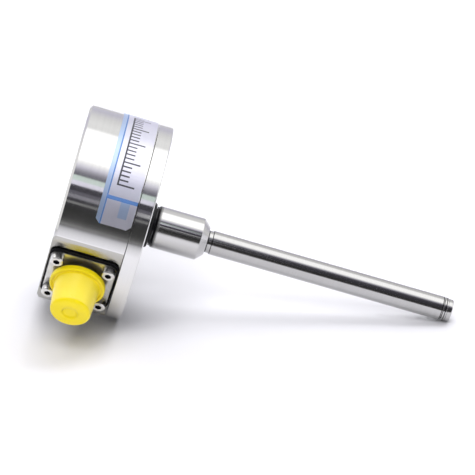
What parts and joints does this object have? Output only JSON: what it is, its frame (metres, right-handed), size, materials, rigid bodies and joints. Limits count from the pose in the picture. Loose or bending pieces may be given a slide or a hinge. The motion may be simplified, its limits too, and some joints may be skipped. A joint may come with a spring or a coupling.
{
  "type": "magnetostrictive position sensor",
  "caption": "Steel drum-headed position sensor with a capped connector in a side pocket, a plug-in collar sealed by an O-ring, and a slim pressure rod with a welded tip.",
  "frame": {"origin": "centre of the drum's flat back face", "axes": "+Z along the pressure rod towards its tip, -Y out of the connector, label from the connector's side over to -X"},
  "size_m": [0.0842, 0.098, 0.1703],
  "materials": {
    "drum_steel": "fine turned, bright",
    "flange_steel": "fine turned, bright",
    "rod_steel": "drawn, bright",
    "plug_steel": "turned",
    "receptacle_steel": "turned, satin",
    "screw_steel": "satin",
    "cap_plastic": "yellow moulded, slightly translucent",
    "label_film": null,
    "o_ring_rubber": "black, smooth",
    "seal_rubber": "black",
    "gasket_rubber": "black",
    "insulator_plastic": "black moulded",
    "contact_gold": "gold plated",
    "board_laminate": "green solder mask",
    "spacer_brass": "turned",
    "board_screw_steel": "zinc plated",
    "bobbin_plastic": "dark moulded",
    "coil_copper": "enamelled copper winding",
    "magnet_nickel": "nickel plated",
    "waveguide_alloy": "drawn wire",
    "conductor_copper": "bare copper",
    "guide_ceramic": "unglazed, off-white",
    "damping_silicone": "red-brown silicone",
    "link_copper": "bare copper",
    "centring_silicone": "grey silicone",
    "lead_red": "wire insulation",
    "lead_black": "wire insulation",
    "lead_blue": "wire insulation",
    "lead_white": "wire insulation"
  },
  "bodies": {
    "sensor": {"housing_body": "drum_steel", "front_flange": "flange_steel", "cover_seal": "seal_rubber", "collar_o_ring": "o_ring_rubber", "rod_tube": "rod_steel", "rod_end_plug": "plug_steel", "receptacle_shell": "receptacle_steel", "flange_gasket": "gasket_rubber", "flange_screw_1": "screw_steel", "flange_screw_2": "screw_steel", "flange_screw_3": "screw_steel", "flange_screw_4": "screw_steel", "contact_insert": "insulator_plastic", "contact_pin_1": "contact_gold", "contact_pin_2": "contact_gold", "contact_pin_3": "contact_gold", "contact_pin_4": "contact_gold", "contact_pin_5": "contact_gold", "contact_pin_6": "contact_gold", "contact_pin_7": "contact_gold", "contact_pin_8": "contact_gold", "label": "label_film", "main_board": "board_laminate", "board_spacer_1": "spacer_brass", "board_spacer_2": "spacer_brass", "board_spacer_3": "spacer_brass", "board_screw_1": "board_screw_steel", "board_screw_2": "board_screw_steel", "board_screw_3": "board_screw_steel", "sensing_head": "bobbin_plastic", "pickup_coil": "coil_copper", "bias_magnet": "magnet_nickel", "waveguide_wire": "waveguide_alloy", "return_conductor": "conductor_copper", "guide_tube": "guide_ceramic", "damping_sleeve": "damping_silicone", "conductor_link": "link_copper", "centring_ring_1": "centring_silicone", "centring_ring_2": "centring_silicone", "lead_wire_1": "lead_red", "lead_wire_2": "lead_black", "lead_wire_3": "lead_blue", "lead_wire_4": "lead_white"},
    "cap": {"protective_cap": "cap_plastic"}
  },
  "joints": [
    {"name": "cap_pull", "type": "slide", "parent": "sensor", "child": "cap", "axis": [0, -1, 0], "range_m": [0, 0.03]}
  ]
}
